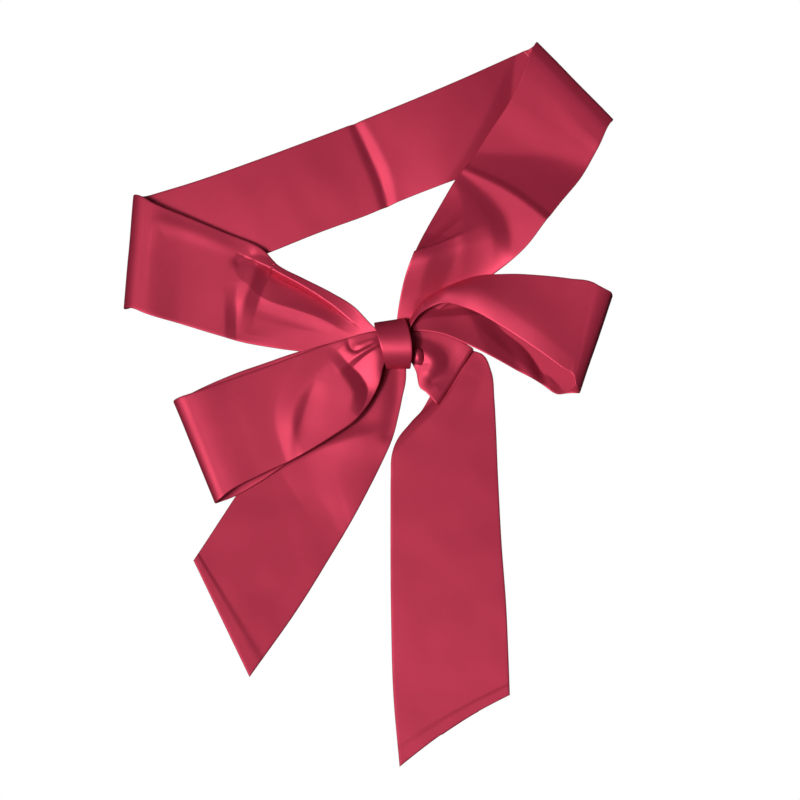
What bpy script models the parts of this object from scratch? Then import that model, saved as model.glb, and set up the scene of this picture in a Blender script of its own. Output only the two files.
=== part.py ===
"""Satin ribbon belt, tied in a bow and laid flat: a standard Blender script, metres, +Z up.

The belt is one doubled satin ribbon. Each stretch of it that shows is its own closed wall. Tables give
the stretch's sections in millimetres, in plan from the point the belt is looked at over, and the two
ends of a section are the ribbon's two edges. Where a section is narrower than the ribbon, the spare
width is gathered into waves.
"""

import math
from collections import namedtuple

import bpy
import numpy as np

MM = 0.001
RIBBON_WIDTH = 80.0
WALL = 1.2
# Middle of the laid-out belt in the tables' plan, which becomes the origin
MIDDLE_X = -22.0
MIDDLE_Y = 5.0
# Share of a gathered section's spare width that shows as waves; the rest is folded away in the knot
WAVE_SHARE = 0.3
ROLL_STEPS = 4

Section = namedtuple("Section", "left_x left_y left_z right_x right_y right_z crown")
Fold = namedtuple("Fold", "start_x start_y end_x end_y rise half_width")

# Back of the waist loop, from the left fold to the right one; left is its upper edge
WAIST_BACK = [
    Section(-187.4, 158, 1.0, -191.4, 76.6, 1.0, 0.0),
    Section(-154, 168, 3.0, -150, 93, 1.6, 0.4),
    Section(-117, 181, 4.2, -101, 112, 2.2, 1.2),
    Section(-84, 193.5, 4.8, -60, 129, 2.6, 1.4),
    Section(-46, 208.6, 4.6, -21, 144, 2.6, 1.0),
    Section(-27, 216.4, 4.6, -2, 152.6, 2.6, 1.0),
    Section(12, 232.6, 4.6, 36, 167.4, 2.6, 1.4),
    Section(52, 251, 3.6, 88, 188, 2.0, 1.0),
    Section(94.4, 272.6, 1.0, 149.4, 213.2, 1.0, 0.0),
]
WAIST_BACK_FOLDS = [
    Fold(-38, 214, -12, 144, -3.6, 3.4),
]

# Left front stretch, from the fold at the left to the knot
WAIST_LEFT_FOLD = (-200.4, 156.4, -205.4, 69)
WAIST_LEFT_LIP = Section(-188, 157.8, 1.0, -192, 76.2, 1.0, 0.0)
WAIST_LEFT = [
    Section(-188, 150, 11.4, -192, 65, 11.4, 0.0),
    Section(-160, 137.5, 11.2, -163, 56.4, 9.0, 0.0),
    Section(-130, 125, 10.0, -137, 48.6, 6.0, 0.4),
    Section(-103, 113, 8.6, -112, 42, 3.4, 1.0),
    Section(-91, 100.6, 8.6, -92, 38.5, 2.6, 2.4),
    Section(-72, 90.2, 9.4, -72, 36, 3.0, 3.6),
    Section(-51, 79.2, 10.6, -52, 34, 3.6, 3.6),
    Section(-33, 67.4, 11.4, -33, 34.4, 4.6, 1.8),
    Section(-21.6, 54.8, 11.6, -21, 37.6, 7.0, 0.3),
    Section(-16.8, 50.0, 11.6, -16, 40, 9.4, 0.0),
]
WAIST_LEFT_FOLDS = [
    Fold(-96, 97, -34, 58, 3.4, 4.0),
    Fold(-100, 84, -48, 66, -3.2, 7.0),
    Fold(-98, 67, -48, 55, 1.8, 5.0),
    Fold(-113, 96, -118, 66, 2.4, 4.0),
    Fold(-125, 72, -127, 48, -2.2, 4.0),
]

# Right front stretch, from the fold at the upper right to the knot
WAIST_RIGHT_FOLD = (105, 279, 161.6, 217)
WAIST_RIGHT_LIP = Section(95, 273, 1.0, 150, 213.5, 1.0, 0.0)
WAIST_RIGHT = [
    Section(101, 264.5, 11.6, 156, 203, 11.6, 0.0),
    Section(88, 237, 11.2, 148, 190, 11.4, 0.0),
    Section(71, 210, 10.6, 135, 168, 10.4, 0.2),
    Section(57, 188, 11.6, 120, 148, 10.4, 0.6),
    Section(43, 168, 10.6, 107, 130, 7.0, 0.8),
    Section(29, 144, 9.4, 91, 110, 4.0, 0.6),
    Section(17, 121, 9.0, 70, 93.5, 3.2, 0.4),
    Section(9, 101, 8.6, 46, 79, 3.2, 0.4),
    Section(2.4, 82, 7.6, 26, 68, 3.6, 0.6),
    Section(-0.8, 66, 5.4, 13, 61, 4.0, 0.6),
    Section(-2, 56, 3.6, 7.4, 53.6, 3.4, 0.2),
    Section(-2.4, 49, 3.4, 5.6, 47.4, 3.4, 0.0),
]
WAIST_RIGHT_FOLDS = [
    Fold(48, 184, 116, 142, 5.0, 4.6),
    Fold(50, 156, 22, 98, -3.6, 11.0),
    Fold(88, 128, 48, 90, 3.0, 9.0),
]

# Left loop of the bow: its upper layer runs from the knot out to the fold, the lower one back
LOOP_LEFT_FOLD = (-166.6, -2.4, -134.8, -78)
LOOP_LEFT_UPPER = [
    Section(-14.8, 46, 18.0, -10.6, 27.6, 16.0, 1.0),
    Section(-19, 46.5, 18.4, -12.8, 21, 16.0, 1.8),
    Section(-26, 45.5, 18.4, -15, 11, 15.6, 3.0),
    Section(-37, 42.5, 17.6, -21, -2, 15.0, 5.0),
    Section(-52, 38.5, 16.0, -31, -16, 14.2, 7.0),
    Section(-74, 31, 14.0, -50, -30, 13.4, 6.4),
    Section(-101, 21, 12.6, -76, -45.5, 12.6, 3.0),
    Section(-126, 12, 12.2, -101, -57.5, 12.2, 0.8),
    Section(-146, 5, 12.2, -118, -67, 12.2, 0.0),
]
LOOP_LEFT_LOWER = [
    Section(-146, 7.5, 1.9, -119, -71, 2.4, 0.0),
    Section(-124, 18.4, 2.2, -101, -60.5, 3.4, 0.0),
    Section(-101, 26.6, 3.0, -76, -43, 5.2, 0.0),
    Section(-74, 35.4, 6.4, -50, -24, 5.6, 0.0),
    Section(-52, 41, 9.0, -31, -6, 7.2, 0.0),
    Section(-36, 43, 10.8, -20, 12, 9.0, 0.0),
    Section(-23, 43, 13.0, -13.4, 27, 10.8, 0.0),
    Section(-15.6, 43, 13.8, -11.8, 31, 12.4, 0.0),
]
LOOP_LEFT_FOLDS = [
    Fold(-61, 33, -82, -24, 3.4, 11.0),
    Fold(-16, 24, -42, 2, -6.4, 8.0),
    Fold(-20, 38, -38, 34, -2.2, 3.0),
]

# Right loop of the bow, the same way round
LOOP_RIGHT_FOLD = (160.4, 79.6, 132.4, 4.6)
LOOP_RIGHT_UPPER = [
    Section(5.6, 52.5, 12.0, 4.8, 45, 18.5, 0.6),
    Section(10, 61, 11.5, 11, 56.5, 20.0, 1.6),
    Section(20, 72, 9.5, 19, 64, 21.0, 4.0),
    Section(32, 81, 8.0, 31, 69, 22.0, 6.5),
    Section(54, 90, 8.0, 51, 65, 21.0, 8.5),
    Section(78, 92, 9.0, 75, 52, 19.0, 9.0),
    Section(103, 91, 11.0, 101, 34.5, 17.0, 7.0),
    Section(126, 88.6, 13.0, 119, 21.5, 15.5, 4.0),
    Section(143, 86, 13.6, 128, 15, 14.6, 1.0),
]
LOOP_RIGHT_LOWER = [
    Section(143, 79, 1.9, 118, 4.5, 1.9, 0.0),
    Section(124, 78, 1.9, 105, 12, 1.9, 0.0),
    Section(100, 76, 2.2, 87, 21, 3.4, 0.8),
    Section(78, 74, 4.2, 68, 31, 7.0, 1.2),
    Section(56, 72, 7.4, 48, 41, 9.6, 1.6),
    Section(36, 69, 10.4, 33, 47.5, 11.4, 1.2),
    Section(20, 63, 12.6, 20, 50, 12.2, 0.4),
    Section(9, 55, 13.0, 10, 49.5, 12.0, 0.0),
]

# Left tail, from under the knot to its slanting end
TAIL_LEFT = [
    Section(-12, 33, 3.6, 4, 27, 3.6, 0.0),
    Section(-20, 27, 3.6, 4, 16, 3.6, 0.6),
    Section(-36, 18, 2.4, 1.4, 2, 3.4, 1.2),
    Section(-55, 8, 1.2, -1.5, -12, 2.4, 1.4),
    Section(-75, -8, 0.6, -6.2, -30, 1.4, 0.8),
    Section(-89, -27, 0.6, -15.8, -51.6, 0.6, 0.0),
    Section(-106, -50, 0.6, -32.8, -85, 0.6, 0.0),
    Section(-121, -74, 0.6, -52, -118, 0.6, 0.0),
    Section(-138, -101, 0.6, -76, -157, 0.6, 0.0),
    Section(-150.4, -120.4, 0.6, -108.8, -204, 0.6, 0.0),
]
TAIL_LEFT_FOLDS = [
    Fold(-4, 8, -14, -30, -1.6, 5.0),
]

# Right tail where it leaves the knot and turns down, as far as the pleat that turns it
TAIL_TURN = [
    Section(6.0, 49.4, 9.8, 7.6, 29, 8.0, 0.4),
    Section(18, 51, 9.2, 12, 20, 6.6, 1.4),
    Section(30, 49.2, 8.4, 14.4, 9, 5.8, 1.8),
    Section(42, 44.6, 7.6, 20, 4, 5.8, 0.8),
    Section(53, 38.4, 6.6, 27, -4, 5.2, 0.0),
]
TAIL_TURN_FOLDS = [
    Fold(30, 44, 31, 22, -2.0, 5.0),
    Fold(20, 40, 21, 26, 1.6, 6.0),
]
# Right tail below the pleat, down to its slanting end
TAIL_RIGHT = [
    Section(50, 38, 2.4, 23, 3.6, 1.2, 0.0),
    Section(61.2, 34, 2.6, 16, -9, 1.2, 0.0),
    Section(67.4, 21, 2.4, 8, -18.4, 2.0, 0.8),
    Section(69.4, 0, 1.8, -1, -30, 3.0, 1.8),
    Section(70.4, -22, 0.8, -5.4, -42, 2.4, 1.4),
    Section(71.2, -50, 0.6, -6.3, -60, 0.8, 0.4),
    Section(73.4, -103, 0.6, -6.4, -104, 0.6, 0.0),
    Section(76.4, -150, 0.6, -6, -156, 0.6, 0.0),
    Section(77.8, -188, 0.6, -4.2, -218, 0.6, 0.0),
    Section(78.6, -217.6, 0.6, 0.2, -268, 0.6, 0.0),
]
# How far the right tail's end edge is drawn in at its middle
TAIL_RIGHT_END_BOW = 3.6
TAIL_RIGHT_FOLDS = [
    Fold(24, -14, 4, -38, 1.8, 8.0),
]

# Band round the knot, from behind it over the top to its front; left is its left edge
KNOT_WRAP = [
    Section(-14.2, 38, 6.6, 5, 38, 6.6, 0.0),
    Section(-16.4, 47, 6.6, 3, 49, 6.6, 0.0),
    Section(-18, 52.4, 7.6, 2, 55.8, 7.6, 0.0),
    Section(-18.6, 55, 12.0, 2.4, 58.4, 12.0, 0.0),
    Section(-18.4, 53.5, 18.0, 3.6, 56.6, 18.4, 0.0),
    Section(-17.8, 50, 22.0, 5, 52, 22.6, 0.0),
    Section(-16.4, 44.5, 24.6, 6.6, 45, 25.0, 0.0),
    Section(-14.6, 38, 25.2, 8, 38, 25.4, 0.0),
    Section(-12.8, 31.5, 23.6, 8.4, 31.5, 23.8, 0.0),
    Section(-11.2, 26, 19.6, 8, 26, 19.8, 0.0),
    Section(-10, 22.4, 14.6, 7.4, 22.4, 14.6, 0.0),
    Section(-9.6, 22, 9.8, 7, 22, 9.8, 0.0),
    Section(-10, 24.4, 7.2, 6.4, 24.4, 7.2, 0.0),
    Section(-11.6, 30, 6.6, 6, 30, 6.6, 0.0),
    Section(-13.9, 37, 6.6, 5.1, 37, 6.6, 0.0),
]

# Gathered layers inside the knot, one rounded solid
CORE_MIDDLE = (-3.8, 39.6, 15.6)
CORE_REACH = (8.6, 12.9, 7.2)
CORE_SKEW = 0.24
CORE_SQUARENESS = 0.72

# Small roll of ribbon that peeps out beside the knot band
KNOT_TUCK = [
    Section(9.4, 37.4, 12.2, 15.4, 35.6, 12.2, 2.0),
    Section(9.4, 33.0, 12.0, 16.6, 31.4, 12.0, 3.4),
    Section(9.6, 29.0, 11.2, 16.4, 26.8, 11.2, 3.2),
    Section(10.6, 25.6, 10.2, 15.0, 24.0, 10.2, 1.6),
]

CRIMSON = (0.41, 0.036, 0.066, 1.0)
CRIMSON_SHADE = (0.33, 0.026, 0.050, 1.0)


def through_rows(rows, count):
    """Rows of numbers read at count places along a smooth curve through them all."""
    rows = np.array(rows, float)
    middles = (rows[:, 0:3] + rows[:, 3:6]) / 2
    steps = np.maximum(np.linalg.norm(np.diff(middles, axis=0), axis=1), 1e-6)
    along = np.concatenate([[0.0], np.cumsum(steps)])
    slopes = np.gradient(rows, along, axis=0)
    places = np.linspace(0.0, along[-1], count)
    span = np.clip(np.searchsorted(along, places, side="right") - 1, 0, len(steps) - 1)
    length = steps[span][:, None]
    t = ((places - along[span]) / steps[span])[:, None]
    return (
        (2 * t**3 - 3 * t**2 + 1) * rows[span]
        + (t**3 - 2 * t**2 + t) * length * slopes[span]
        + (3 * t**2 - 2 * t**3) * rows[span + 1]
        + (t**3 - t**2) * length * slopes[span + 1]
    )


def roll_rows(fold_line, first, last):
    """Sections of a rounded fold about a line in plan, between the rows that it joins."""
    outer = np.array(fold_line, float).reshape(2, 2)
    rows = []
    for step in range(1, ROLL_STEPS):
        turn = math.pi * step / ROLL_STEPS
        ends = []
        for end, column in enumerate((0, 3)):
            start = np.array(first[column : column + 3], float)
            finish = np.array(last[column : column + 3], float)
            inner = start + (finish - start) * step / ROLL_STEPS
            plan = inner[:2] + (outer[end] - inner[:2]) * math.sin(turn)
            height = (start[2] + finish[2]) / 2 + (start[2] - finish[2]) / 2 * math.cos(turn)
            ends += [plan[0], plan[1], height]
        rows.append(Section(*ends, 0.0))
    return rows


def normals_of(grid):
    """Unit normals of a grid of points, facing up where the ribbon runs left edge first."""
    along = np.gradient(grid, axis=0)
    across = np.gradient(grid, axis=1)
    normals = np.cross(along, across)
    return normals / np.maximum(np.linalg.norm(normals, axis=2, keepdims=True), 1e-9)


def relief(points, folds):
    """Rise of soft ridges and troughs, which run straight in plan and fade at their ends."""
    rise = np.zeros(points.shape[:2])
    for fold in folds:
        start = np.array([fold.start_x, fold.start_y])
        run = np.array([fold.end_x, fold.end_y]) - start
        length = np.linalg.norm(run)
        run = run / length
        away = points[..., :2] - start
        along = away @ run
        across = away @ np.array([-run[1], run[0]])
        past = np.maximum(np.maximum(-along, along - length), 0.0)
        distance = np.hypot(across, past)
        rise += fold.rise * np.exp(-((distance / fold.half_width) ** 2))
    return rise


def ribbon_grid(
    rows, along, across, facing=1, waves=0.0, wave_start=0.0, folds=(), folded_share=(0.0, 1.0),
    end_bow=0.0,
):
    """Points of a stretch's middle surface: sections, their crowns and gathers, then its folds.

    facing is 1 where the table's left edge is on the right of someone walking along the ribbon,
    and -1 where it is on their left, so that crowns rise from the face that shows.
    """
    table = through_rows(rows, along)
    share = np.linspace(0.0, 1.0, across)
    crown = table[:, 6]
    edge_turn = table[:, 3:6] - table[:, 0:3]
    edge_turn = edge_turn / np.linalg.norm(edge_turn, axis=1)[:, None] * WALL / 2
    left = table[:, 0:3] - edge_turn
    right = table[:, 3:6] + edge_turn
    grid = left[:, None] * (1 - share)[None, :, None] + right[:, None] * share[None, :, None]
    chord = np.linalg.norm(right - left, axis=1)
    run = grid[-1] - grid[-2]
    run = run / np.linalg.norm(run, axis=1)[:, None]
    near_end = np.linspace(0.0, 1.0, along) ** 8
    drawn_in = end_bow * near_end[:, None] * np.sin(math.pi * share)[None, :]
    grid = grid - drawn_in[..., None] * run[None, :, :]
    bulge = crown[:, None] * np.sin(math.pi * share)[None, :]
    if waves:
        spare = np.maximum(RIBBON_WIDTH / chord - 1.0, 0.0) * WAVE_SHARE
        depth = np.minimum(chord / (math.pi * waves) * np.sqrt(spare), chord / (6 * waves))
        phase = 2 * math.pi * (waves * share + wave_start)
        calm_edges = np.sin(math.pi * share) ** 0.5
        bulge = bulge + depth[:, None] * (np.sin(phase) * calm_edges)[None, :]
    grid = grid + normals_of(grid) * (facing * bulge)[..., None]
    if folds:
        placed = np.linspace(0.0, 1.0, along)[:, None]
        inside = (placed >= folded_share[0]) & (placed <= folded_share[1])
        grid[..., 2] += relief(grid, folds) * inside
    grid[..., 2] = np.maximum(grid[..., 2], WALL / 2)
    return grid


def wall_of(grid, thickness):
    """A closed wall round a middle surface: vertices and faces, the faces pointing out."""
    normals = normals_of(grid)
    along, across = grid.shape[:2]
    upper = (grid + normals * thickness / 2).reshape(-1, 3)
    lower = (grid - normals * thickness / 2).reshape(-1, 3)
    count = along * across

    def at(row, column, side=0):
        return row * across + column + side * count

    faces = []
    for row in range(along - 1):
        for column in range(across - 1):
            corners = [(row, column), (row + 1, column), (row + 1, column + 1), (row, column + 1)]
            faces.append([at(*corner) for corner in corners])
            faces.append([at(*corner, 1) for corner in reversed(corners)])
    rim = [(row, 0) for row in range(along)]
    rim += [(along - 1, column) for column in range(1, across)]
    rim += [(row, across - 1) for row in range(along - 2, -1, -1)]
    rim += [(0, column) for column in range(across - 2, 0, -1)]
    for here, there in zip(rim, rim[1:] + rim[:1]):
        faces.append([at(*there), at(*here), at(*here, 1), at(*there, 1)])
    return np.vstack([upper, lower]), faces


def material(name, colour):
    """Satin cloth of one colour."""
    made = bpy.data.materials.get(name) or bpy.data.materials.new(name)
    made.use_nodes = True
    shader = made.node_tree.nodes["Principled BSDF"]
    shader.inputs["Base Color"].default_value = colour
    shader.inputs["Roughness"].default_value = 0.38
    shader.inputs["Metallic"].default_value = 0.35
    return made


def add_object(name, points, faces, colour):
    """A named object from points in the tables' millimetres."""
    placed = (np.asarray(points, float) - np.array([MIDDLE_X, MIDDLE_Y, 0.0])) * MM
    mesh = bpy.data.meshes.new(name)
    mesh.from_pydata(placed.tolist(), [], faces)
    mesh.validate()
    mesh.shade_smooth()
    mesh.set_sharp_from_angle(angle=math.radians(50))
    mesh.materials.append(material("satin_" + name, colour))
    made = bpy.data.objects.new(name, mesh)
    bpy.context.scene.collection.objects.link(made)
    return made


def add_stretch(name, rows, along, across, **shape):
    """One stretch of the ribbon as a closed wall."""
    grid = ribbon_grid(rows, along, across, **shape)
    points, faces = wall_of(grid, WALL)
    return add_object(name, points, faces, CRIMSON)


def add_core():
    """The rounded heart of the knot, skewed as its band is."""
    rings, sides = 10, 20
    points, faces = [], []
    for ring in range(1, rings):
        polar = math.pi * ring / rings
        for side in range(sides):
            turn = 2 * math.pi * side / sides
            unit = (
                math.cos(polar),
                math.sin(polar) * math.cos(turn),
                math.sin(polar) * math.sin(turn),
            )
            x, y, z = (
                math.copysign(abs(part) ** CORE_SQUARENESS, part) * reach
                for part, reach in zip(unit, CORE_REACH)
            )
            points.append(
                (
                    CORE_MIDDLE[0] + x - CORE_SKEW * y,
                    CORE_MIDDLE[1] + y,
                    CORE_MIDDLE[2] + z,
                )
            )
    first, last = len(points), len(points) + 1
    points.append((CORE_MIDDLE[0] + CORE_REACH[0], CORE_MIDDLE[1], CORE_MIDDLE[2]))
    points.append((CORE_MIDDLE[0] - CORE_REACH[0], CORE_MIDDLE[1], CORE_MIDDLE[2]))
    for side in range(sides):
        after = (side + 1) % sides
        faces.append([first, side, after])
        end = (rings - 2) * sides
        faces.append([last, end + after, end + side])
        for ring in range(rings - 2):
            a, b = ring * sides, (ring + 1) * sides
            faces.append([a + side, b + side, b + after, a + after])
    return add_object("knot_core", points, faces, CRIMSON_SHADE)


def build():
    """Clears the scene and makes every stretch."""
    for old in list(bpy.data.objects):
        bpy.data.objects.remove(old)
    add_stretch("waist_back", WAIST_BACK, 26, 7, facing=-1, folds=WAIST_BACK_FOLDS)
    front = [WAIST_LEFT_LIP] + roll_rows(WAIST_LEFT_FOLD, WAIST_LEFT_LIP, WAIST_LEFT[0]) + WAIST_LEFT
    add_stretch(
        "waist_left", front, 32, 11, facing=-1, waves=1.5, wave_start=0.6,
        folds=WAIST_LEFT_FOLDS, folded_share=(0.15, 1.0),
    )
    front = (
        [WAIST_RIGHT_LIP]
        + roll_rows(WAIST_RIGHT_FOLD, WAIST_RIGHT_LIP, WAIST_RIGHT[0])
        + WAIST_RIGHT
    )
    add_stretch(
        "waist_right", front, 32, 11, waves=1.5, wave_start=0.5,
        folds=WAIST_RIGHT_FOLDS, folded_share=(0.15, 1.0),
    )
    left_loop = (
        LOOP_LEFT_UPPER
        + roll_rows(LOOP_LEFT_FOLD, LOOP_LEFT_UPPER[-1], LOOP_LEFT_LOWER[0])
        + LOOP_LEFT_LOWER
    )
    add_stretch(
        "loop_left", left_loop, 46, 11, waves=2.0, wave_start=0.25,
        folds=LOOP_LEFT_FOLDS, folded_share=(0.0, 0.48),
    )
    right_loop = (
        LOOP_RIGHT_UPPER
        + roll_rows(LOOP_RIGHT_FOLD, LOOP_RIGHT_UPPER[-1], LOOP_RIGHT_LOWER[0])
        + LOOP_RIGHT_LOWER
    )
    add_stretch("loop_right", right_loop, 46, 11, facing=-1)
    add_stretch("tail_left", TAIL_LEFT, 28, 9, folds=TAIL_LEFT_FOLDS)
    add_stretch("tail_turn", TAIL_TURN, 15, 11, facing=-1, folds=TAIL_TURN_FOLDS)
    add_stretch(
        "tail_right", TAIL_RIGHT, 32, 9, facing=-1, folds=TAIL_RIGHT_FOLDS,
        end_bow=TAIL_RIGHT_END_BOW,
    )
    add_stretch("knot_wrap", KNOT_WRAP, 34, 5)
    add_stretch("knot_tuck", KNOT_TUCK, 10, 7)
    add_core()


build()
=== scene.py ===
"""Satin ribbon belt tied in a bow and laid flat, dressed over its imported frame. Metres, +Z up.

Tables are in millimetres, in plan from the point that the camera looks at. Each stretch of the doubled
ribbon that shows is one shell, with creases and dents pressed into its sections.
"""

import math
from collections import namedtuple

import bpy
import numpy as np
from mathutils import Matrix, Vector, noise

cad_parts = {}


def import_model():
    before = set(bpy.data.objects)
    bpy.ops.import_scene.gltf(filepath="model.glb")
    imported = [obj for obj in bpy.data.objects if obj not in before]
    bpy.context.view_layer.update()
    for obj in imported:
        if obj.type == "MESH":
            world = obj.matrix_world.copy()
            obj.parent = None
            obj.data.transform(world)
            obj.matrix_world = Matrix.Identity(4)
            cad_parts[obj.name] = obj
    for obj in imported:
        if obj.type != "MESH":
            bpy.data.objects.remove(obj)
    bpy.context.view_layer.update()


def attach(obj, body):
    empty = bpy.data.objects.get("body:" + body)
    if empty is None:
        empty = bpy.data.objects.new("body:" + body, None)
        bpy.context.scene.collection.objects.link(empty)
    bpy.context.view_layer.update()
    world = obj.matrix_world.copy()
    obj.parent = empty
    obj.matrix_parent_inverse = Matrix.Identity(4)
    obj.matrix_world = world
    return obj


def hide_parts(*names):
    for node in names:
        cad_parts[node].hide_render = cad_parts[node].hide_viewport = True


MM = 0.001
RIBBON_WIDTH = 80.0
WALL = 1.2
# The UV map that holds each point's place on the flat ribbon
FLAT_MAP = "ribbon"
SURFACE = "white_surface"
# The belt's middle, from the point that the camera looks at
MIDDLE_X = -22.0
MIDDLE_Y = 5.0

# The camera stands off the belt, leaning back from straight above
CAMERA_DISTANCE = 1600.0
CAMERA_LEAN = math.radians(12)
CAMERA_LENS = 97.14
CAMERA_SENSOR = 36.0
# In metres, as are the lights and the white surface
CAMERA_CLIPS = (0.05, 20.0)

WHITE = (1.0, 1.0, 1.0, 1.0)
BLACK = (0.0, 0.0, 0.0, 1.0)
SURFACE_REACH = 40.0
SURFACE_DROP = 0.0002

# The key light comes from the lower left, so cloth that falls that way is bright
MIDDLE = (0.0, 0.0, 0.0)
KEY_PLACE = (-3.4, -2.5, 7.3)
KEY_SIZE = 4.0
KEY_POWER = 488.0
# The same light is stronger on the right of the belt
RIGHT_SIDE = (0.30, 0.24, 0.0)
RIGHT_RADIUS = 0.3
RIGHT_CONE = 0.13
RIGHT_POWER = 2500.0
# A faint light skims the edges on the right
RIM_PLACE = (4.0, 2.2, 0.9)
RIM_SIZE = 2.0
RIM_POWER = 8.0
SURROUND_STRENGTH = 0.04

SATIN_COLOUR = (0.50, 0.031, 0.074)
SATIN_ROUGHNESS = 0.54
SATIN_METALLIC = 0.62
# How far the gloss is stretched across the warp
SATIN_STRETCH = 0.2
MOTTLE_SCALE = 45.0
MOTTLE_DETAIL = 6.0
MOTTLE_ROUGHNESS = 0.7
MOTTLE_DEPTH = 0.07
WEAVE_SCALE = 900.0
WEAVE_DETAIL = 3.0
WEAVE_STRENGTH = 0.14
WEAVE_HEIGHT = 0.0003

# The two edges of the ribbon at one place, and how far the cloth bulges between them
Section = namedtuple("Section", "left_x left_y left_z right_x right_y right_z crown")
# A point on a crease: its rise, and how far it spreads to the left and the right of its run
Crease = namedtuple("Crease", "x y rise left right")
# A line in plan; what is on its right fades out over a width
Limit = namedtuple("Limit", "from_x from_y to_x to_y width")
# A fold's kind, the shares of the stretch's length it is kept to, its points, and a line that it ends at
Fold = namedtuple("Fold", "kind first last points limit", defaults=(None,))

WAIST_BACK = [
    Section(-187.95, 157.8, 1.0, -191.95, 76.2, 1.0, 0.0),
    Section(-154, 168, 3.0, -150, 93, 1.6, 0.4),
    Section(-117, 181, 4.2, -101, 112, 2.2, 1.2),
    Section(-84, 193.5, 4.8, -60, 129, 2.6, 1.4),
    Section(-46, 208.6, 4.6, -21, 144, 2.6, 1.0),
    Section(-27, 216.4, 4.6, -2, 152.6, 2.6, 1.0),
    Section(12, 232.6, 6.0, 36, 167.4, 5.0, 0.8),
    Section(52, 251, 5.0, 88, 188, 4.4, 0.6),
    Section(82, 266.5, 1.6, 132, 205.5, 1.6, 0.0),
    Section(94.95, 273, 1.0, 149.95, 213.5, 1.0, 0.0),
]
WAIST_BACK_FOLDS = [
    # Crease left from packing
    Fold("facet", 0.0, 1.0, [
        Crease(-8, 142, -1.6, 5.0, 7.0),
        Crease(-15, 168, -2.2, 6.0, 9.0),
        Crease(-24, 190, -2.2, 6.0, 9.0),
        Crease(-35, 214, -1.6, 5.0, 7.0),
    ]),
    # It dips to where the right front stretch crosses it
    Fold("ramp", 0.0, 1.0, [
        Crease(34, 165, -2.6, 0.0, 11.0),
        Crease(52, 193, -4.0, 0.0, 13.0),
        Crease(68, 225, -4.0, 0.0, 13.0),
        Crease(82, 259, -3.0, 0.0, 13.0),
    ]),
]

WAIST_LEFT_FOLD = (-200.4, 156.4, -205.4, 69)
WAIST_LEFT_LIP = Section(-188, 157.8, 1.0, -192, 76.2, 1.0, 0.0)
WAIST_LEFT = [
    Section(-188, 150, 11.4, -192, 65, 11.4, 0.0),
    Section(-160, 137.5, 11.2, -163, 56.4, 9.0, 0.0),
    Section(-130, 125, 10.0, -137, 48.6, 7.6, 0.4),
    Section(-103, 113, 9.2, -112, 42, 6.4, 0.6),
    Section(-91, 100.6, 8.8, -92, 38.5, 5.8, 0.8),
    Section(-72, 90.2, 8.8, -72, 36, 5.2, 0.8),
    Section(-51, 79.2, 9.2, -52, 34, 4.8, 0.8),
    Section(-33, 67.4, 10.0, -33, 34.4, 5.2, 0.8),
    Section(-21.6, 54.8, 11.6, -21, 37.6, 7.0, 0.3),
    Section(-16.8, 50.0, 11.6, -16, 40, 9.4, 0.0),
]
WAIST_LEFT_FOLDS = [
    # Lip from the notch in the upper edge down to the knot, over a long hollow that rises to a soft ridge
    Fold("lip", 0.15, 1.0, [
        Crease(-106, 103, 0.8, 6.0, 17.0),
        Crease(-97, 98.4, 1.9, 8.0, 20.0),
        Crease(-86, 92.2, 2.3, 9.0, 20.0),
        Crease(-71, 83.6, 2.1, 10.0, 17.0),
        Crease(-52, 71, 1.4, 10.0, 12.0),
        Crease(-36, 58, 0.3, 7.0, 8.0),
    ]),
    Fold("round", 0.15, 1.0, [
        Crease(-103, 70, 0.0, 6.0, 7.0),
        Crease(-89, 69, 0.4, 6.0, 8.0),
        Crease(-74, 66, 0.6, 6.0, 8.0),
        Crease(-56, 59, 0.5, 5.0, 6.0),
        Crease(-41, 52, 0.0, 4.0, 4.0),
    ]),
    # Dent across the ribbon beyond the hollow, the short crest beside it and the fall to the hollow
    Fold("facet", 0.15, 1.0, [
        Crease(-122, 88, 0.0, 20.0, 8.0),
        Crease(-122, 76, -0.8, 30.0, 8.0),
        Crease(-122, 65, -1.8, 40.0, 8.0),
        Crease(-122, 55, -1.8, 40.0, 8.0),
        Crease(-122, 43, -0.8, 30.0, 8.0),
    ]),
    Fold("facet", 0.15, 1.0, [
        Crease(-106, 99, 0.0, 8.0, 7.0),
        Crease(-109, 92, 0.7, 9.0, 7.0),
        Crease(-113.8, 79, 1.0, 9.0, 8.0),
        Crease(-116.1, 71, 0.9, 9.0, 8.0),
        Crease(-117.4, 61.4, 0.4, 9.0, 8.0),
        Crease(-118, 48, 0.0, 8.0, 8.0),
    ]),
    Fold("facet", 0.15, 1.0, [
        Crease(-99, 90, -1.2, 40.0, 11.0),
        Crease(-104, 77, -2.4, 50.0, 12.0),
        Crease(-106.5, 69, -2.2, 50.0, 12.0),
        Crease(-109, 60, -1.0, 40.0, 12.0),
        Crease(-111, 48, 0.0, 20.0, 8.0),
    ]),
    # Where the bands along the upper edge and inside the fold lean away
    Fold("round", 0.15, 1.0, [
        Crease(-188, 72, 0.1, 7.0, 8.0),
        Crease(-187, 112, 0.3, 7.0, 8.0),
        Crease(-182, 131, 0.7, 7.0, 8.0),
        Crease(-171, 131, 0.8, 6.0, 7.0),
        Crease(-150, 124, 0.7, 6.0, 6.0),
        Crease(-131, 116, 0.5, 6.0, 6.0),
        Crease(-116, 110, 0.0, 5.0, 5.0),
    ]),
    Fold("round", 0.15, 1.0, [Crease(-121, 104, -0.9, 4.0, 4.0), Crease(-112, 109, -0.9, 4.0, 4.0)]),
]

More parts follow.
